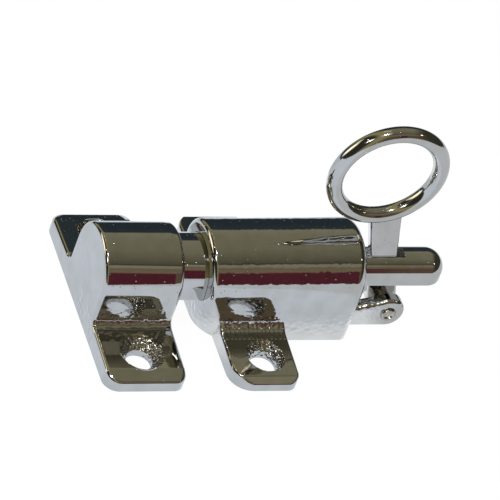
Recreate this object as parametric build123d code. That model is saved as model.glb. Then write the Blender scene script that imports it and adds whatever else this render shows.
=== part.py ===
from build123d import *
import math
import os

# Spring bolt for a window. X runs along the bolt, which shoots towards -X, Y runs across it and Z points away
# from the frame that the lock is screwed to. The origin is midway between the housing's two screw holes.

# Bolt
bolt_height = 10.9        # bolt axis above the mounting plane
head_radius = 6.4         # round top of the head
head_side = 2.8           # flat side below the axis
head_bevel = 1.5          # bevel between flat side and underside
head_length = 24.8
nose_slope_length = 5.0   # sloping underside that rides over the keeper when the window slams
nose_slope_height = 6.0
nose_edge = 0.5
bolt_reach = 6.95         # nose inside the keeper at rest
tail_radius = 3.75
tail_side = 1.6
tail_length = 38.6        # from the head's shoulder to the round end
slot_clearance = 0.1      # each side of the lever's blade
slot_play = 3.4           # room in front of the blade

# Housing
barrel_wall = 2.7
barrel_length = 32.0
barrel_front = 12.0       # front rim to the screw line
barrel_rise = 0.45        # the barrel's crown climbs this much towards the rear
barrel_drop = 0.15        # front crown axis below the bolt axis
front_lean = 1.2          # the front face leans back by this much at the base
nose_corner = 7.0         # plan rounding of the front corners at the base
rim_edge = 1.0            # rounding of the front rim
rear_edge = 1.8
lip_edge = 1.1            # rounding into the bore
rear_wall = 3.0
running_clearance = 0.1   # bolt in its bore

# Housing lugs
lug_length = 13.5
lug_front = 7.7           # lug's front face to the screw line
lug_half_span = 22.5
lug_root_height = 3.75
lug_tip_height = 2.9
lug_fillet = 2.0          # hollow blend between lug and wall
lug_bevel_run = 1.3
lug_bevel_drop = 1.3
lug_front_corner = 4.5
lug_rear_corner = 2.2
lug_edge = 0.6
screw_half_spacing = 16.4
screw_hole = 5.2
screw_sink = 7.8
screw_sink_depth = 2.2

# Ears that carry the lever's pin
pin_reach = 8.65          # pin behind the housing's rear face
pin_radius = 1.6
pin_proud = 0.3
pin_edge = 0.3
pin_clearance = 0.05
ear_radius = 3.4
ear_thickness = 2.3
ear_half_gap = 3.3
ear_neck_height = 4.3
ear_edge = 0.8

# Ring lever
lever_lean = 14.85        # degrees forward of upright at rest
blade_thickness = 2.4
eye_radius = 3.0
waist_half_width = 2.75
waist_distance = 12.9
root_half_width = 3.15
ring_distance = 33.05     # ring centre from the pin
ring_radius = 10.6        # to the middle of its round section
ring_thickness = 3.2
blade_edge = 0.45

# Keeper
keeper_gap = 5.25         # keeper's mouth to the housing's front rim
keeper_length = 16.15
keeper_wall = 1.3
keeper_clearance = 0.9    # bolt in the keeper's mouth
keeper_drop = 0.3         # crown axis below the bolt axis
keeper_back_wall = 1.8
keeper_half_span = 22.4
keeper_root_height = 4.0
keeper_tip_height = 3.4
keeper_fillet = 1.4
keeper_bevel_run = 2.7
keeper_bevel_drop = 1.1
keeper_back_corner = 3.0
keeper_mouth_corner = 2.2
keeper_edge = 0.8
keeper_screw_inset = 8.3  # from the closed face
keeper_screw_half_spacing = 15.7
keeper_screw_sink = 8.8

# Return spring
spring_wire = 0.8
spring_turns = 6
spring_clearance = 0.35
spring_end_gap = 0.05

# Stations along the bolt
front_x = -barrel_front
rear_x = front_x + barrel_length
mouth_x = front_x - keeper_gap
keeper_x = mouth_x - keeper_length
nose_x = mouth_x - bolt_reach
shoulder_x = nose_x + head_length
tail_end_x = shoulder_x + tail_length
seat_x = rear_x - rear_wall
pin_x = rear_x + pin_reach
pin_z = ear_radius
barrel_radius = head_radius + running_clearance + barrel_wall
socket_radius = head_radius + keeper_clearance
keeper_radius = socket_radius + keeper_wall
spring_inner = math.hypot(tail_radius, tail_side) + spring_clearance
spring_radius = spring_inner + spring_wire / 2
chamber_radius = spring_inner + spring_wire + spring_clearance
beyond = 1.0              # how far a cut runs past the face that it opens
hair = 0.01               # slack when an edge is picked by its place
aligned = 0.9             # least cosine at which an edge or a face counts as facing along an axis


def arch(x, radius, side, bevel=0.0, clearance=0.0, height=bolt_height):
    """Round-topped section across the bolt: half circle, flat sides, bevels and a flat underside."""
    r = radius + clearance
    low = height - side - clearance * (math.sqrt(2) - 1 if bevel else 1)
    cut = bevel + clearance * (2 - math.sqrt(2))
    with BuildSketch(Plane.YZ.offset(x)) as section:
        with BuildLine():
            ThreePointArc((r, height), (0, height + r), (-r, height))
            if bevel:
                Polyline((-r, height), (-r, low), (cut - r, low - cut), (r - cut, low - cut), (r, low), (r, height))
            else:
                Polyline((-r, height), (-r, low), (r, low), (r, height))
        make_face()
    return section.sketch


def bar(x0, x1, radius, side, bevel=0.0, clearance=0.0, height=bolt_height):
    """Straight bar of arch section between two stations."""
    return extrude(arch(x0, radius, side, bevel, clearance, height), amount=x1 - x0)


def root_top(root_height, blend):
    """Height up the wall that a lug's own solid reaches, a little past its blend."""
    return root_height + blend + beyond / 2


def lug_profile(x, wall, half_span, root_height, tip_height, blend, bevel_run, bevel_drop):
    """Section of a lug on the +Y side: sloping top, bevelled end and a hollow blend up the wall."""
    low = tip_height - bevel_drop
    high = root_top(root_height, blend)
    with BuildSketch(Plane.YZ.offset(x)) as section:
        with BuildLine():
            Polyline(
                (0, 0),
                (half_span, 0),
                (half_span, low),
                (half_span - bevel_run, tip_height),
                (wall, root_height),
                (wall, high),
                (0, high),
                close=True,
            )
        make_face()
        root = section.vertices().sort_by_distance((wall, root_height, 0))[0]
        fillet(root, radius=blend)
    return section.sketch


def plan(x0, x1, half_span, corner0, corner1, height):
    """Block of rounded plan outline, whose corners are rounder at one end than at the other."""
    block = Pos((x0 + x1) / 2, 0, height / 2) * Box(x1 - x0, 2 * half_span, height)
    uprights = block.edges().filter_by(Axis.Z).group_by(Axis.X)
    block = fillet(uprights[0], radius=corner0)
    uprights = block.edges().filter_by(Axis.Z).group_by(Axis.X)
    return fillet(uprights[-1], radius=corner1)


def screw_hole_cut(x, y, top, sink):
    """Clearance hole with a countersink that opens at height top."""
    hole = Pos(x, y, top / 2) * Cylinder(screw_hole / 2, top + 2 * beyond)
    flare = screw_sink_depth + beyond
    spread = (sink - screw_hole) / 2 * flare / screw_sink_depth
    cone = Pos(x, y, top + beyond - flare / 2) * Cone(screw_hole / 2, screw_hole / 2 + spread, flare)
    return hole + cone


def top_at(y, wall, half_span, bevel_run, root_height, tip_height):
    """Height of a lug's sloping top at distance y from the bolt's plane."""
    share = (y - wall) / (half_span - bevel_run - wall)
    return root_height + (tip_height - root_height) * share


def make_bolt():
    head = bar(nose_x, shoulder_x, head_radius, head_side, head_bevel)
    head = fillet(head.faces().sort_by(Axis.X)[0].edges(), radius=nose_edge)
    low = bolt_height - head_side - head_bevel
    with BuildSketch(Plane.XZ.offset(-head_radius - beyond)) as wedge:
        with BuildLine():
            Polyline(
                (nose_x - beyond, low - beyond),
                (nose_x + nose_slope_length, low - beyond),
                (nose_x + nose_slope_length, low),
                (nose_x, low + nose_slope_height),
                (nose_x - beyond, low + nose_slope_height),
                close=True,
            )
        make_face()
    head -= extrude(wedge.sketch, amount=2 * (head_radius + beyond))
    round_x = tail_end_x - tail_radius
    tail = bar(shoulder_x - beyond, round_x, tail_radius, tail_side)
    with BuildSketch(Plane.XZ) as half:
        with BuildLine():
            Line((round_x, bolt_height - tail_side), (tail_end_x, bolt_height - tail_side))
            Line((tail_end_x, bolt_height - tail_side), (tail_end_x, bolt_height))
            RadiusArc((tail_end_x, bolt_height), (round_x, bolt_height + tail_radius), -tail_radius)
            Line((round_x, bolt_height + tail_radius), (round_x, bolt_height - tail_side))
        make_face()
    end = revolve(half.sketch, axis=Axis((round_x, 0, 0), (0, 0, 1)), revolution_arc=360)
    return head + tail + end - slot_cut()


def blade_reach(height, side):
    """Station of the blade's front (-1) or rear (+1) face where the leaning lever passes a height."""
    lean = math.radians(lever_lean)
    climb = height - pin_z
    share = min(climb / math.cos(lean) / waist_distance, 1)
    half = eye_radius + (waist_half_width - eye_radius) * share
    return pin_x - climb * math.tan(lean) + side * half / math.cos(lean)


def slot_cut():
    """Slot through the tail for the lever's blade, with room for its swing."""
    low = bolt_height - tail_side
    high = bolt_height + tail_radius
    x1 = blade_reach(low, 1) + slot_clearance
    x0 = blade_reach(high, -1) - slot_play
    width = blade_thickness + 2 * slot_clearance
    return Pos((x0 + x1) / 2, 0, bolt_height) * Box(x1 - x0, width, 2 * (high - low))


def lean_at(height):
    """Station of the leaning front face at a height."""
    crown = bolt_height - barrel_drop + barrel_radius
    return front_x + front_lean * (1 - height / crown)


def corner_waste(wall, stations, facing):
    """Waste outside an upright corner on the +Y side, lofted between plan roundings given from the base up."""
    sections = []
    for height, x, radius in stations:
        with BuildSketch(Plane.XY.offset(height)) as waste:
            with BuildLine():
                RadiusArc((x, wall - radius), (x - facing * radius, wall), -facing * radius)
                Polyline(
                    (x - facing * radius, wall),
                    (x - facing * radius, wall + beyond),
                    (x + facing * beyond, wall + beyond),
                    (x + facing * beyond, wall - radius),
                    (x, wall - radius),
                )
            make_face()
        sections.append(waste.sketch)
    return loft(sections, ruled=True)


def nose_corner_cut():
    """Waste outside a front corner of the barrel, round at the base and tight at the height of the bolt."""
    top = bolt_height - barrel_drop
    return corner_waste(barrel_radius, [(0, lean_at(0), nose_corner), (top, lean_at(top), rim_edge)], -1)


def make_barrel():
    """Solid barrel with a crown that climbs to the rear and front corners that round off towards the base."""
    front_axis = bolt_height - barrel_drop
    rear_axis = front_axis + barrel_rise
    front_section = arch(front_x, barrel_radius, front_axis, height=front_axis)
    rear_section = arch(rear_x, barrel_radius, rear_axis, height=rear_axis)
    barrel = loft([front_section, rear_section], ruled=True)
    barrel -= front_waste(2 * bolt_height)
    for end, radius in ((0, rim_edge), (-1, rear_edge)):
        outline = barrel.faces().sort_by(Axis.X)[end].edges().filter_by(lambda edge: edge.center().Z > beyond)
        barrel = fillet(outline, radius=radius)
    corner = nose_corner_cut()
    return barrel - corner - mirror(corner, about=Plane.XZ)


def front_waste(height):
    """Wedge in front of the leaning face, wider than the barrel."""
    half = barrel_radius + barrel_wall
    with BuildSketch(Plane.XZ.offset(-half)) as side:
        with BuildLine():
            Polyline(
                (lean_at(-beyond), -beyond),
                (lean_at(height), height),
                (front_x - beyond, height),
                (front_x - beyond, -beyond),
                close=True,
            )
        make_face()
    return extrude(side.sketch, amount=2 * half)


def bore_cut():
    """Bore for the bolt's head with a rounded lip at the leaning face, the spring's chamber and the tail's hole."""
    half = barrel_radius + barrel_wall
    height = 2 * bolt_height
    block = Pos(front_x, 0, height / 2) * Box(4 * lip_edge, 2 * half, height)
    block -= front_waste(height)
    bore = bar(front_x - 4 * lip_edge, seat_x, head_radius, head_side, head_bevel, running_clearance)
    lipped = block - bore
    mouth = lipped.faces().filter_by(lambda face: face.normal_at().X < -aligned).sort_by(Axis.X)[0]
    lipped = fillet(mouth.inner_wires()[0].edges(), radius=lip_edge)
    chamber = Pos((shoulder_x + seat_x) / 2, 0, bolt_height) * Rot(0, 90, 0)
    chamber *= Cylinder(chamber_radius, seat_x - shoulder_x)
    tail_hole = bar(seat_x - beyond, rear_x + beyond, tail_radius, tail_side, clearance=running_clearance)
    return bore + (block - lipped) + chamber + tail_hole


def make_ears():
    """Pair of round-ended ears behind the barrel that carry the lever's pin."""
    with BuildSketch(Plane.XZ.offset(ear_half_gap)) as profile:
        with BuildLine():
            Polyline(
                (seat_x, 0),
                (pin_x, 0),
                (pin_x, pin_z),
                (pin_x - ear_radius / 2, pin_z + ear_radius * math.sqrt(3) / 2),
                (rear_x, ear_neck_height),
                (seat_x, ear_neck_height),
                close=True,
            )
        make_face()
        with Locations((pin_x, pin_z)):
            Circle(ear_radius)
    ear = extrude(profile.sketch, amount=ear_thickness)
    outer = ear.faces().sort_by(Axis.Y)[0].edges().filter_by(lambda edge: edge.center().X > seat_x + beyond / 2)
    ear = fillet(outer, radius=ear_edge)
    return ear + mirror(ear, about=Plane.XZ)


def soften_lug(lug, wall, radius):
    """Rounds a lug's upper and end edges, but not its foot or the smooth seams of its plan corners."""

    def shows(edge):
        upright = abs(edge.tangent_at(0.5).Z) > aligned
        return edge.center().Z > hair and edge.center().Y > wall + hair and not upright

    return fillet(lug.edges().filter_by(shows), radius=radius)


def make_housing():
    body = make_barrel()
    lug = extrude(
        lug_profile(
            -lug_front,
            barrel_radius,
            lug_half_span,
            lug_root_height,
            lug_tip_height,
            lug_fillet,
            lug_bevel_run,
            lug_bevel_drop,
        ),
        amount=lug_length,
    )
    lug = lug & plan(-lug_front, lug_length - lug_front, lug_half_span, lug_front_corner, lug_rear_corner, bolt_height)
    lug = soften_lug(lug, barrel_radius, lug_edge)
    body += lug
    body += mirror(lug, about=Plane.XZ)
    body += make_ears()
    body -= bore_cut()
    body -= Pos(pin_x, 0, pin_z) * Rot(90, 0, 0) * Cylinder(pin_radius, 4 * ear_half_gap)
    top = top_at(
        screw_half_spacing, barrel_radius, lug_half_span, lug_bevel_run, lug_root_height, lug_tip_height
    )
    for side in (-1, 1):
        body -= screw_hole_cut(0, side * screw_half_spacing, top, screw_sink)
    return body


def keeper_outline(edge):
    """True for an edge between the keeper's top surfaces and its upright outline, and for the bevel's crease."""
    upright = abs(edge.tangent_at(0.5).Z) > aligned
    along = abs(edge.tangent_at(0.5).X) > aligned
    reach = abs(edge.center().Y)
    corner_seam = upright and reach > keeper_radius + hair
    blend_seam = along and reach < keeper_radius + keeper_fillet + hair
    return edge.center().Z > hair and not corner_seam and not blend_seam


def make_keeper():
    """Round-topped box between two lugs, its whole upper outline rounded in one go and then hollowed."""
    crown_axis = bolt_height - keeper_drop
    lug = extrude(
        lug_profile(
            keeper_x,
            keeper_radius,
            keeper_half_span,
            keeper_root_height,
            keeper_tip_height,
            keeper_fillet,
            keeper_bevel_run,
            keeper_bevel_drop,
        ),
        amount=keeper_length,
    )
    lug = lug & plan(keeper_x, mouth_x, keeper_half_span, keeper_back_corner, keeper_mouth_corner, bolt_height)
    body = bar(keeper_x, mouth_x, keeper_radius, crown_axis, height=crown_axis) + lug + mirror(lug, about=Plane.XZ)
    body = fillet(body.edges().filter_by(keeper_outline), radius=keeper_edge)
    body -= bar(keeper_x + keeper_back_wall, mouth_x + beyond, socket_radius, bolt_height + beyond)
    top = top_at(
        keeper_screw_half_spacing,
        keeper_radius,
        keeper_half_span,
        keeper_bevel_run,
        keeper_root_height,
        keeper_tip_height,
    )
    for side in (-1, 1):
        body -= screw_hole_cut(keeper_x + keeper_screw_inset, side * keeper_screw_half_spacing, top, keeper_screw_sink)
    return body


def make_lever():
    """Blade with an eye for the pin and a round finger ring, built upright and then leant forward."""
    upright = Pos(pin_x, 0, pin_z)
    join = ring_distance - ring_radius
    with BuildSketch(Plane.XZ) as outline:
        with BuildLine():
            Polyline(
                (-eye_radius, 0),
                (-waist_half_width, waist_distance),
                (-root_half_width, join),
                (root_half_width, join),
                (waist_half_width, waist_distance),
                (eye_radius, 0),
                close=True,
            )
        make_face()
        Circle(eye_radius)
    blade = extrude(outline.sketch, amount=blade_thickness / 2, both=True)
    rims = blade.edges().filter_by(Axis.Y, reverse=True).filter_by(lambda edge: edge.center().Z < join - hair)
    blade = fillet(rims, radius=blade_edge)
    with BuildSketch(Plane.YZ) as section:
        with Locations((0, ring_radius)):
            Circle(ring_thickness / 2)
    ring = Pos(0, 0, ring_distance) * revolve(section.sketch, axis=Axis.Y, revolution_arc=360)
    lever = blade + ring
    lever -= Rot(90, 0, 0) * Cylinder(pin_radius + pin_clearance, 2 * blade_thickness)
    return upright * Rot(0, -lever_lean, 0) * lever


def make_pin():
    length = 2 * (ear_half_gap + ear_thickness + pin_proud)
    pin = Cylinder(pin_radius, length)
    pin = fillet(pin.edges().filter_by(GeomType.CIRCLE), radius=pin_edge)
    return Pos(pin_x, 0, pin_z) * Rot(90, 0, 0) * pin


def spring_point(turn):
    """Point of the spring's centre line after a number of turns from its front end."""
    length = seat_x - shoulder_x - spring_wire - 2 * spring_end_gap
    start = shoulder_x + spring_wire / 2 + spring_end_gap
    angle = 2 * math.pi * turn
    return Vector(
        start + length * turn / spring_turns,
        spring_radius * math.cos(angle),
        bolt_height + spring_radius * math.sin(angle),
    )


def spring_heading(turn):
    """Direction of the wire at the same point."""
    step = 1e-5
    return (spring_point(turn + step) - spring_point(turn - step)).normalized()


def spring_gap():
    """Least clear space between the wire and the next turn, measured on points along the centre line."""
    steps = 24
    points = [spring_point(step / steps) for step in range(steps * spring_turns + 1)]
    gaps = []
    for index, point in enumerate(points):
        gaps += [(point - other).length - spring_wire for other in points[index + steps // 2:]]
    return min(gaps)


def make_spring():
    """Open-ended compression spring round the tail, each half turn of its helix two tangent arcs."""
    arcs = []
    for half in range(2 * spring_turns):
        a, b = spring_point(half / 2), spring_point((half + 1) / 2)
        u, v = spring_heading(half / 2), spring_heading((half + 1) / 2)
        chord = b - a
        both = u + v
        spread = 2 * (1 - u.dot(v))
        reach = (math.sqrt(chord.dot(both) ** 2 + spread * chord.dot(chord)) - chord.dot(both)) / spread
        middle = (a + u * reach + b - v * reach) * 0.5
        arcs.append(Edge.make_tangent_arc(a, u, middle))
        arcs.append(Edge.make_tangent_arc(middle, (chord - both * reach).normalized(), b))
    with BuildSketch(Plane(origin=spring_point(0), z_dir=spring_heading(0))) as section:
        Circle(spring_wire / 2)
    print("least gap between the spring's turns", round(spring_gap(), 2), "mm")
    return sweep(section.sketch, path=Wire(arcs))


def main():
    os.makedirs("parts", exist_ok=True)
    makers = {
        "keeper": make_keeper,
        "housing": make_housing,
        "bolt": make_bolt,
        "return_spring": make_spring,
        "ring_lever": make_lever,
        "pivot_pin": make_pin,
    }
    for name, maker in makers.items():
        piece = maker()
        export_step(piece, f"parts/{name}.step")
        print(name, round(piece.volume), piece.bounding_box().size)


main()
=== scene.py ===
import math
import bmesh
import bpy
import numpy as np
from mathutils import Matrix, Vector


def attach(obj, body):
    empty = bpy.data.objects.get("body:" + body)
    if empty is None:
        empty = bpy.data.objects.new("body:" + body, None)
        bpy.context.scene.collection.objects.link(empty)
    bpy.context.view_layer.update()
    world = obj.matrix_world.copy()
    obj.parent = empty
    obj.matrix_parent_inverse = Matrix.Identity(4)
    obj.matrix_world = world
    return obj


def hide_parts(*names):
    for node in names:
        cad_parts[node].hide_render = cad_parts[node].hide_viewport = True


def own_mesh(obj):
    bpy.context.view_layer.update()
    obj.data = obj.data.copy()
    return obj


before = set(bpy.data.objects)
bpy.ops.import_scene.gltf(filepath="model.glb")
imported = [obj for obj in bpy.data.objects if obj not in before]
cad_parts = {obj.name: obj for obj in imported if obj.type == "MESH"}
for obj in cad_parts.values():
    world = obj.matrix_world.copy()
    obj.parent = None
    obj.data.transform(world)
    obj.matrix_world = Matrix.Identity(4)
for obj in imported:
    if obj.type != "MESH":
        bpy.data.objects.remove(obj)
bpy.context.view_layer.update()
print("frame loaded")

mm = 0.001


def srgb(text):  # sRGB hex colour to the linear colour that shaders take
    parts = [int(text[i:i + 2], 16) / 255 for i in (1, 3, 5)]
    return tuple(p / 12.92 if p <= 0.04045 else ((p + 0.055) / 1.055) ** 2.4 for p in parts) + (1,)


def addNode(tree, kind, settings, inputs):  # a node with its settings; an input is a link or a value
    node = tree.nodes.new(kind)
    for name, value in settings.items():
        setattr(node, name, value)
    for name, value in inputs.items():
        if isinstance(value, bpy.types.Node):
            value = value.outputs[0]
        if isinstance(value, bpy.types.NodeSocket):
            tree.links.new(value, node.inputs[name])
        else:
            node.inputs[name].default_value = value
    return node


def newMaterial(name):
    material = bpy.data.materials.new(name)
    material.use_nodes = True
    material.node_tree.nodes.clear()
    return material, material.node_tree


def link(name, data):
    item = bpy.data.objects.new(name, data)
    bpy.context.scene.collection.objects.link(item)
    return item


# Bright chrome: a cool mirror that is never quite flat. It has slow waves, fine pits and a few specks.
platedLook = {
    "plate": "#c8c9cb",
    "dull": "#b4b2ab",          # where the plate is thin
    "roughness": (0.03, 0.085),
    "roughFrom": (0.35, 0.7),   # the levels of the pits' pattern that give the least and the most roughness
    "waveLength": 3.2 * mm,
    "waveHeight": 0.0015 * mm,
    "waveDetail": 1.5,
    "pitLength": 0.35 * mm,
    "pitHeight": 0.0006 * mm,
    "pitDetail": 3.0,
    "speckSpacing": 1.15 * mm,
    "speckRadius": 0.13 * mm,   # drawn three times as wide as the real ones, which wouldn't show
    "speckDepth": 0.05 * mm,
}


def nearPoint(tree, point, centre, radius, edge):  # 1 inside the radius round a centre, 0 outside it
    away = addNode(tree, "ShaderNodeVectorMath", {"operation": "DISTANCE"}, {0: point, 1: centre})
    rim = {"Value": away.outputs["Value"], "From Min": radius, "From Max": radius - edge}
    return addNode(tree, "ShaderNodeMapRange", {}, rim)


def metal(name, look, addLayers=None):
    material, tree = newMaterial(name)
    place = addNode(tree, "ShaderNodeTexCoord", {}, {}).outputs["Object"]
    axes = addNode(tree, "ShaderNodeSeparateXYZ", {}, {0: place}).outputs
    waves = {"Vector": place, "Scale": 1 / look["waveLength"], "Detail": look["waveDetail"]}
    waves = addNode(tree, "ShaderNodeTexNoise", {}, waves)
    pits = {"Vector": place, "Scale": 1 / look["pitLength"], "Detail": look["pitDetail"]}
    pits = addNode(tree, "ShaderNodeTexNoise", {}, pits)
    dots = addNode(tree, "ShaderNodeTexVoronoi", {}, {"Vector": place, "Scale": 1 / look["speckSpacing"]})
    specks = {"Value": dots, "From Min": look["speckRadius"] / look["speckSpacing"], "From Max": 0.0}
    specks = addNode(tree, "ShaderNodeMapRange", {}, specks)
    layers = [(look["waveHeight"], waves), (look["pitHeight"], pits), (-look["speckDepth"], specks)]
    if addLayers:
        layers += addLayers(tree, look, place, axes, waves)
    relief = 0.0
    for height, pattern, *masks in layers:  # relief = sum of height in metres * pattern * its masks
        for mask in masks:
            pattern = addNode(tree, "ShaderNodeMath", {"operation": "MULTIPLY"}, {0: pattern, 1: mask})
        layer = {0: pattern, 1: height, 2: relief}
        relief = addNode(tree, "ShaderNodeMath", {"operation": "MULTIPLY_ADD"}, layer)
    normal = addNode(tree, "ShaderNodeBump", {}, {"Height": relief, "Distance": 1.0})
    start, full = look["roughFrom"]
    low, high = look["roughness"]
    rough = {"Value": pits, "From Min": start, "From Max": full, "To Min": low, "To Max": high}
    rough = addNode(tree, "ShaderNodeMapRange", {}, rough)
    tone = {0: waves, 6: srgb(look["plate"]), 7: srgb(look["dull"])}
    tone = addNode(tree, "ShaderNodeMix", {"data_type": "RGBA"}, tone).outputs[2]
    surface = {"Metallic": 1.0, "Base Color": tone, "Roughness": rough, "Normal": normal}
    shader = addNode(tree, "ShaderNodeBsdfPrincipled", {}, surface)
    addNode(tree, "ShaderNodeOutputMaterial", {}, {"Surface": shader})
    return material


welding = {"mergeWithin": 0.001 * mm, "creaseDegrees": 32}


def smoothCopy(node, body, material):  # the node's own faces, welded and smoothed
    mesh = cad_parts[node].data.copy()
    mesh.materials.clear()
    work = bmesh.new()
    work.from_mesh(mesh)
    bmesh.ops.remove_doubles(work, verts=work.verts, dist=welding["mergeWithin"])
    crease = math.radians(welding["creaseDegrees"])
    for edge in work.edges:
        edge.smooth = len(edge.link_faces) == 2 and edge.calc_face_angle() < crease
    for face in work.faces:
        face.smooth = True
    work.to_mesh(mesh)
    work.free()
    piece = link(node + "_finished", mesh)
    weight = piece.modifiers.new("largeFacesLead", "WEIGHTED_NORMAL")
    weight.keep_sharp = True
    mesh.materials.append(material)
    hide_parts(node)
    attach(piece, body)
    return piece


# Chrome over a polished zinc casting. A wheel can't reach below the crown, so the waves grow to the foot.
# Countersinks and the lug's root are left as cast, then plated: the first sparkle, the second is ribbed.
castLook = dict(
    platedLook,
    waveHeight=0.0035 * mm,
    footTop=8.0 * mm,
    footFull=4.5 * mm,
    footHeight=0.016 * mm,       # the same waves' extra height at the foot
    rippleLength=1.2 * mm,
    rippleHeight=0.28 * mm,
    rippleDetail=1.0,
    rippleWall=(-5.0 * mm, 5.0 * mm),  # middle and reach across: the front wall alone was left this rough
    sinks=((-25.1 * mm, 15.7 * mm), (0.0, 16.4 * mm)),  # their places along and across
    sinkRadii=(4.4 * mm, 3.9 * mm),
    sinkEdge=0.12 * mm,
    grainLength=0.6 * mm,        # drawn twice as coarse as it is, to show
    grainHeight=0.45 * mm,
    grainDetail=0.3,
    ribCentre=(11.0 * mm, 4.7 * mm),  # across and up, inside the root's hollow blend
    ribRadius=1.85 * mm,
    ribEdge=0.2 * mm,
    ribPitch=0.9 * mm,
    ribHeight=0.055 * mm,
    ribWobble=2.5,
    ribDetail=2.0,
    ribDetailScale=1.5,
    split=-15.0 * mm,            # the keeper lies before this, the housing behind it
    rolledEnds=(-17.25 * mm, 20.0 * mm),  # the wheel rolls over the last of each rear end
    rolledWidth=2.0 * mm,
    rolledDepth=0.22 * mm,
    rolledPower=1.5,
    leans=(                      # the keeper's lugs came off the wheel a little out of true: from, to, rise
        (-10.5 * mm, -24.0 * mm, 1.08 * mm),
        (10.5 * mm, 24.0 * mm, -0.6 * mm),
    ),
)


waveTurn = 20  # the wave texture turns by this many radians per unit at a scale of 1


def castLayers(tree, look, place, axes, waves):  # foot, countersinks, ribs, rolled ends and leans
    across = addNode(tree, "ShaderNodeMath", {"operation": "ABSOLUTE"}, {0: axes["Y"]})
    low = {"Value": axes["Z"], "From Min": look["footTop"], "From Max": look["footFull"]}
    low = addNode(tree, "ShaderNodeMapRange", {}, low)
    middle, reach = look["rippleWall"]
    wall = addNode(tree, "ShaderNodeMath", {"operation": "COMPARE"}, {0: axes["Y"], 1: middle, 2: reach})
    ripples = {"Vector": place, "Scale": 1 / look["rippleLength"], "Detail": look["rippleDetail"]}
    ripples = addNode(tree, "ShaderNodeTexNoise", {}, ripples)
    layers = [(look["footHeight"], waves, low), (look["rippleHeight"], ripples, low, wall)]

    plan = addNode(tree, "ShaderNodeCombineXYZ", {}, {"X": axes["X"], "Y": across})
    grain = {"Vector": place, "Scale": 1 / look["grainLength"], "Detail": look["grainDetail"]}
    grain = addNode(tree, "ShaderNodeTexNoise", {}, grain)
    for centre, radius in zip(look["sinks"], look["sinkRadii"]):
        sink = nearPoint(tree, plan, (*centre, 0), radius, look["sinkEdge"])
        layers.append((look["grainHeight"], grain, sink))

    section = addNode(tree, "ShaderNodeCombineXYZ", {}, {"Y": across, "Z": axes["Z"]})
    root = nearPoint(tree, section, (0, *look["ribCentre"]), look["ribRadius"], look["ribEdge"])
    ribs = {
        "Vector": place,
        "Scale": math.tau / (waveTurn * look["ribPitch"]),
        "Distortion": look["ribWobble"],
        "Detail": look["ribDetail"],
        "Detail Scale": look["ribDetailScale"],
    }
    ribs = addNode(tree, "ShaderNodeTexWave", {}, ribs).outputs["Fac"]
    housing = addNode(tree, "ShaderNodeMath", {"operation": "GREATER_THAN"}, {0: axes["X"], 1: look["split"]})
    layers.append((look["ribHeight"], ribs, root, housing))

    for end in look["rolledEnds"]:
        last = {"Value": axes["X"], "From Min": end - look["rolledWidth"], "From Max": end}
        last = addNode(tree, "ShaderNodeMapRange", {}, last)
        last = addNode(tree, "ShaderNodeMath", {"operation": "POWER"}, {0: last, 1: look["rolledPower"]})
        layers.append((-look["rolledDepth"], last))
    keeper = addNode(tree, "ShaderNodeMath", {"operation": "LESS_THAN"}, {0: axes["X"], 1: look["split"]})
    for start, full, rise in look["leans"]:
        lean = {"Value": axes["Y"], "From Min": start, "From Max": full}
        layers.append((rise, addNode(tree, "ShaderNodeMapRange", {}, lean), keeper))
    return layers


castChrome = metal("brightChromeOnCastZinc", castLook, castLayers)
smoothCopy("keeper", "keeper", castChrome)
smoothCopy("housing", "housing", castChrome)
print("castings finished")

# Chrome over a buffed zinc bolt: flatter waves, so straighter bands. Its slot stays as cast and looks grainy.
boltLook = dict(
    platedLook,
    waveHeight=0.0012 * mm,
    slot=(24.8 * mm, 0.0, 11.0 * mm),  # its middle
    slotReach=(5.42 * mm, 1.32 * mm, 8.0 * mm),
    grainLength=0.4 * mm,
    grainHeight=0.5 * mm,
    grainDetail=2.0,
)


def slotLayers(tree, look, place, axes, waves):  # grain on what lies inside the slot's own box
    grain = {"Vector": place, "Scale": 1 / look["grainLength"], "Detail": look["grainDetail"]}
    layer = [look["grainHeight"], addNode(tree, "ShaderNodeTexNoise", {}, grain)]
    for axis, middle, reach in zip("XYZ", look["slot"], look["slotReach"]):
        inside = {0: axes[axis], 1: middle, 2: reach}
        layer.append(addNode(tree, "ShaderNodeMath", {"operation": "COMPARE"}, inside))
    return [layer]


smoothCopy("bolt", "bolt", metal("brightChromeOnBuffedZincBolt", boltLook, slotLayers))
print("bolt finished")

# Chrome over a tumbled zinc lever: a little more wave along the ring under the same bright plate.
leverLook = dict(platedLook, waveHeight=0.005 * mm, roughness=(0.05, 0.11))
smoothCopy("ring_lever", "ring_lever", metal("brightChromeOnTumbledZincLever", leverLook))
print("lever finished")

# Nickel over a mild steel pin: warmer than chrome. The riveting punch left a rolled rim round a dish.
pinLook = dict(
    platedLook,
    plate="#c9c5bb",
    dull="#a8a49a",
    waveLength=1.0 * mm,
    waveHeight=0.02 * mm,
    roughness=(0.06, 0.14),
    rivet=(28.65 * mm, 3.4 * mm),  # the pin's place along the lock and up
    punched=((1.62 * mm, 0.5 * mm, 0.85 * mm), (1.1 * mm, 0.55 * mm, -1.0 * mm)),  # radius, edge, height
)


def rivetLayers(tree, look, place, axes, waves):  # a step up or down inside each radius round the pin
    along, up = look["rivet"]
    section = addNode(tree, "ShaderNodeCombineXYZ", {}, {"X": axes["X"], "Z": axes["Z"]})
    layers = []
    for radius, edge, height in look["punched"]:
        layers.append((height, nearPoint(tree, section, (along, 0, up), radius, edge)))
    return layers


smoothCopy("pivot_pin", "housing", metal("nickelOnRivetedSteelPin", pinLook, rivetLayers))
print("pin finished")

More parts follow.
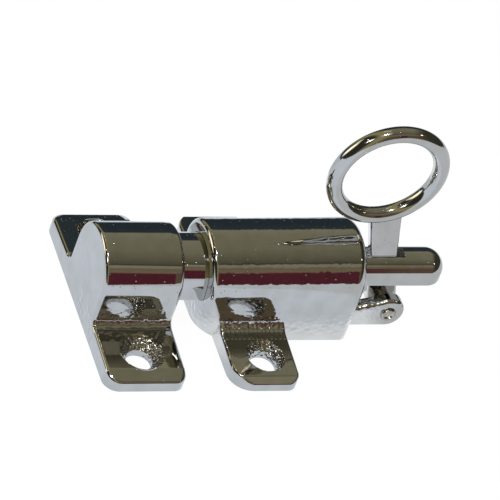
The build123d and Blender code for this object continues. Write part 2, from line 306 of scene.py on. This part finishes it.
# Drawn spring steel wire: darker than the plated pieces, with a satin sheen.
springLook = dict(platedLook, plate="#8f9092", dull="#77787a", waveHeight=0.0005 * mm, roughness=(0.22, 0.35))
spring = smoothCopy("return_spring", "housing", metal("drawnSpringSteelWire", springLook))
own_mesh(spring)
print("spring finished")

# The room as the chrome sees it. Its bands run round the bolt: degrees up from the back (+Y) over the top.
room = {
    "bands": (
        (-90, "#dde5ee"),
        (-18, "#dde5ee"),
        (-15, "#2c3539"),
        (20, "#30393e"),
        (38, "#353e42"),
        (41, "#918e77"),
        (60, "#89866f"),
        (92, "#858069"),
        (113, "#74705b"),
        (129, "#5f5c4b"),
        (130, "#48463a"),
        (132, "#48463a"),
        (133, "#98937e"),
        (138, "#968e78"),
        (141, "#7a7056"),
        (150, "#867660"),
        (152, "#7a5a4c"),
        (154, "#69574a"),
        (180, "#6b5a44"),
        (181, "#3a2b28"),
        (185, "#3a2b28"),
        (186, "#dde5ee"),
        (270, "#dde5ee"),
    ),
    "walls": (                # along the bolt: where each begins and is full, and its colour
        (0.02, -0.16, "#a39a70"),
        (-0.36, -0.50, "#35342c"),
        (0.56, 0.80, "#403d30"),
    ),
    "wallFoot": -0.12,        # the walls end this far below eye level
    "red": "#5c2832",         # a dark red patch low in front, narrow along the bolt
    "redDegrees": (152.5, 181.5),
    "redAlong": (0.276, 0.409),
    "glows": (                # direction, degrees across its bright middle and over all, strength and colour
        ((-0.16, -0.28, 0.95), 3, 11, 1.3, "#f3f0fb"),
        ((-0.87, 0.45, 0.24), 9, 20, 2.2, "#fff4d6"),
        ((-0.65, 0.65, 0.39), 3, 10, 1.6, "#fff4d2"),
        ((-0.58, -0.36, 0.73), 4, 9, 3.0, "#fffaf0"),
        ((-0.12, 0.59, 0.80), 1, 4, 1.6, "#ffe590"),
        ((-0.05, 0.40, 0.91), 1, 5, 1.4, "#ffe9a0"),
    ),
    "sky": 0.95,              # what lights matt surfaces
}
paperLook = {
    "colour": "#eef1f5",
    "glossTint": "#ebf3fd",
    "patches": (              # painted light in that glow, seen only by the chrome: linear colour, then where it starts and is full on each axis
        # a painted pool of brighter light on the sheet beneath and behind the housing
        ((1.18, 1.23, 1.28, 1), (("Y", -15.0 * mm, -10.5 * mm), ("X", -13.0 * mm, -9.0 * mm))),
        # painted grey shade on the sheet from 25 mm along the lock outwards
        (srgb("#dee2e6"), (("X", 25.0 * mm, 30.0 * mm),)),
    ),
    "glossShare": 0.92,       # how much of the sheet's own glow the chrome sees instead of its shading
    "cameraShare": 0.93,      # the same for the camera
    "cameraGlow": 1.03,
    "x": (-1.5, 1.5),
    "y": (-0.6, 0.042),       # it ends close behind the lock, so upward faces see the dark room beyond
}
lamps = (                     # the small bright lamps: direction from the lock, width, brightness, colour
    ((-0.16, -0.24, 0.96), 0.09, 40, "#fffdf6"),
    ((-0.58, -0.36, 0.73), 0.09, 30, "#fffaf0"),
    ((-0.62, 0.05, 0.78), 0.05, 16, "#ffedc0"),
    ((0.72, -0.35, 0.60), 0.06, 10, "#fff6e0"),
)
lampDistance = 1.2


def bandShare(degrees):  # a turn round the bolt as a share of the ramp, which begins straight below it
    return (degrees + 90) / 360


def makeWorld(look):  # white to the camera, even sky to matt surfaces, and the room to mirrors
    world = bpy.data.worlds.new("room")
    bpy.context.scene.world = world
    world.use_nodes = True
    tree = world.node_tree
    tree.nodes.clear()
    way = addNode(tree, "ShaderNodeTexCoord", {}, {}).outputs["Generated"]
    axes = addNode(tree, "ShaderNodeSeparateXYZ", {}, {0: way}).outputs
    turn = addNode(tree, "ShaderNodeMath", {"operation": "ARCTAN2"}, {0: axes["Z"], 1: axes["Y"]})
    share = {0: turn, 1: 1 / math.tau, 2: bandShare(0)}
    share = addNode(tree, "ShaderNodeMath", {"operation": "MULTIPLY_ADD"}, share)
    share = addNode(tree, "ShaderNodeMath", {"operation": "FRACT"}, {0: share})
    ramp = addNode(tree, "ShaderNodeValToRGB", {}, {"Fac": share})
    stops = ramp.color_ramp.elements
    while len(stops) < len(look["bands"]):
        stops.new(0.5)        # each gets its own place below
    for stop, (degrees, colour) in zip(stops, look["bands"]):
        stop.position = bandShare(degrees)
        stop.color = srgb(colour)

    patches = []              # what hangs before the bands: its colour and the masks it is cut by
    redBox = []
    low, high = (bandShare(degrees) for degrees in look["redDegrees"])
    near, far = look["redAlong"]
    for value, start, end in ((share, low, high), (axes["X"], near, far)):
        inside = {0: value, 1: (start + end) / 2, 2: (end - start) / 2}
        redBox.append(addNode(tree, "ShaderNodeMath", {"operation": "COMPARE"}, inside))
    patches.append((srgb(look["red"]), *redBox))
    above = {0: axes["Z"], 1: look["wallFoot"]}
    above = addNode(tree, "ShaderNodeMath", {"operation": "GREATER_THAN"}, above)
    for start, full, shade in look["walls"]:
        wall = {"Value": axes["X"], "From Min": start, "From Max": full}
        patches.append((srgb(shade), addNode(tree, "ShaderNodeMapRange", {}, wall), above))
    for direction, inner, outer, strength, shade in look["glows"]:
        toward = {0: way, 1: Vector(direction).normalized()}
        toward = addNode(tree, "ShaderNodeVectorMath", {"operation": "DOT_PRODUCT"}, toward).outputs["Value"]
        start, full = (math.cos(math.radians(degrees)) for degrees in (outer, inner))
        glow = {"Value": toward, "From Min": start, "From Max": full}
        glow = addNode(tree, "ShaderNodeMapRange", {"interpolation_type": "SMOOTHSTEP"}, glow)
        patches.append(([part * strength for part in srgb(shade)[:3]] + [1], glow))
    colour = ramp
    for shade, mask, *others in patches:
        for other in others:
            mask = addNode(tree, "ShaderNodeMath", {"operation": "MULTIPLY"}, {0: mask, 1: other})
        laid = {0: mask, 6: colour, 7: shade}
        colour = addNode(tree, "ShaderNodeMix", {"data_type": "RGBA"}, laid).outputs[2]
    mirrored = addNode(tree, "ShaderNodeBackground", {}, {"Color": colour, "Strength": 1.0})
    sky = addNode(tree, "ShaderNodeBackground", {}, {"Color": srgb("#ffffff"), "Strength": look["sky"]})
    backdrop = addNode(tree, "ShaderNodeBackground", {}, {"Color": srgb("#ffffff"), "Strength": 1.0})
    ray = addNode(tree, "ShaderNodeLightPath", {}, {}).outputs
    lit = addNode(tree, "ShaderNodeMixShader", {}, {0: ray["Is Glossy Ray"], 1: sky, 2: mirrored})
    seen = addNode(tree, "ShaderNodeMixShader", {}, {0: ray["Is Camera Ray"], 1: lit, 2: backdrop})
    addNode(tree, "ShaderNodeOutputWorld", {}, {"Surface": seen})


# Pale matt studio paper: it looks white, keeps a soft shadow and lends the chrome its light grey. The glow
# the chrome sees has a painted pool of brighter light beneath and behind the housing, and painted grey shade
# from 25 mm along the lock outwards.
def makePaper(look):  # a flat grid, x and y running evenly between its edges
    x, y = (grid.ravel() for grid in np.meshgrid(look["x"], look["y"]))
    mesh = bpy.data.meshes.new("paper")
    mesh.from_pydata(np.stack([x, y, 0 * x], 1).tolist(), [], [(0, 1, 3, 2)])
    material, tree = newMaterial("paleStudioPaper")
    matt = addNode(tree, "ShaderNodeBsdfDiffuse", {}, {"Color": srgb(look["colour"])})
    white = {"Color": srgb("#ffffff"), "Strength": look["cameraGlow"]}
    white = addNode(tree, "ShaderNodeEmission", {}, white)
    place = addNode(tree, "ShaderNodeTexCoord", {}, {}).outputs["Object"]
    axes = addNode(tree, "ShaderNodeSeparateXYZ", {}, {0: place}).outputs
    pale = srgb(look["glossTint"])
    # lay the painted pool of light and the painted grey shade into the glow that only the chrome sees
    for paintedLight, turns in look["patches"]:
        share = 1.0
        for axis, start, full in turns:
            turn = {"Value": axes[axis], "From Min": start, "From Max": full}
            turn = addNode(tree, "ShaderNodeMapRange", {}, turn)
            share = addNode(tree, "ShaderNodeMath", {"operation": "MULTIPLY"}, {0: share, 1: turn})
        pale = addNode(tree, "ShaderNodeMix", {"data_type": "RGBA"}, {0: share, 6: pale, 7: paintedLight}).outputs[2]
    pale = {"Color": pale, "Strength": 1.0}
    pale = addNode(tree, "ShaderNodeEmission", {}, pale)
    forCamera = addNode(tree, "ShaderNodeMixShader", {}, {0: look["cameraShare"], 1: matt, 2: white})
    forGloss = addNode(tree, "ShaderNodeMixShader", {}, {0: look["glossShare"], 1: matt, 2: pale})
    ray = addNode(tree, "ShaderNodeLightPath", {}, {}).outputs
    seen = addNode(tree, "ShaderNodeMixShader", {}, {0: ray["Is Glossy Ray"], 1: matt, 2: forGloss})
    seen = addNode(tree, "ShaderNodeMixShader", {}, {0: ray["Is Camera Ray"], 1: seen, 2: forCamera})
    addNode(tree, "ShaderNodeOutputMaterial", {}, {"Surface": seen})
    mesh.materials.append(material)
    link("paper", mesh)


def makeLamps(rows):  # each is a small square that shines from its direction towards the lock
    for index, (direction, width, brightness, colour) in enumerate(rows):
        data = bpy.data.lights.new(f"lamp{index}", "AREA")
        data.size = width
        data.energy = brightness * math.pi * width ** 2
        data.color = srgb(colour)[:3]
        lamp = link(f"lamp{index}", data)
        back = Vector(direction).normalized()
        turn = back.to_track_quat("Z", "Y").to_matrix().to_4x4()
        lamp.matrix_world = Matrix.Translation(back * lampDistance) @ turn
        lamp.visible_camera = False


cameraView = {                # fitted to the outlines of every visible piece
    "aim": (-0.673 * mm, 2.230 * mm, 12.869 * mm),
    "around": 30.80,          # degrees round from the front towards the keeper
    "up": 40.86,
    "roll": 21.48,
    "distance": 1069 * mm,
    "lens": 404.66,
    "sensor": 36,
    "clipEnd": 10,
}


def makeCamera(view):
    around, up, roll = (math.radians(view[key]) for key in ("around", "up", "roll"))
    back = Vector((-math.sin(around) * math.cos(up), -math.cos(around) * math.cos(up), math.sin(up)))
    level = Vector((0, 0, 1)).cross(back).normalized()
    rise = back.cross(level)
    right = level * math.cos(roll) + rise * math.sin(roll)
    data = bpy.data.cameras.new("camera")
    data.lens = view["lens"]
    data.sensor_width = view["sensor"]
    data.clip_end = view["clipEnd"]
    camera = link("camera", data)
    turn = Matrix((right, back.cross(right), back)).transposed().to_4x4()
    camera.matrix_world = Matrix.Translation(Vector(view["aim"]) + back * view["distance"]) @ turn
    bpy.context.scene.camera = camera


makeWorld(room)
makePaper(paperLook)
makeLamps(lamps)
makeCamera(cameraView)
bpy.context.scene.view_settings.view_transform = "Standard"
print("studio made")
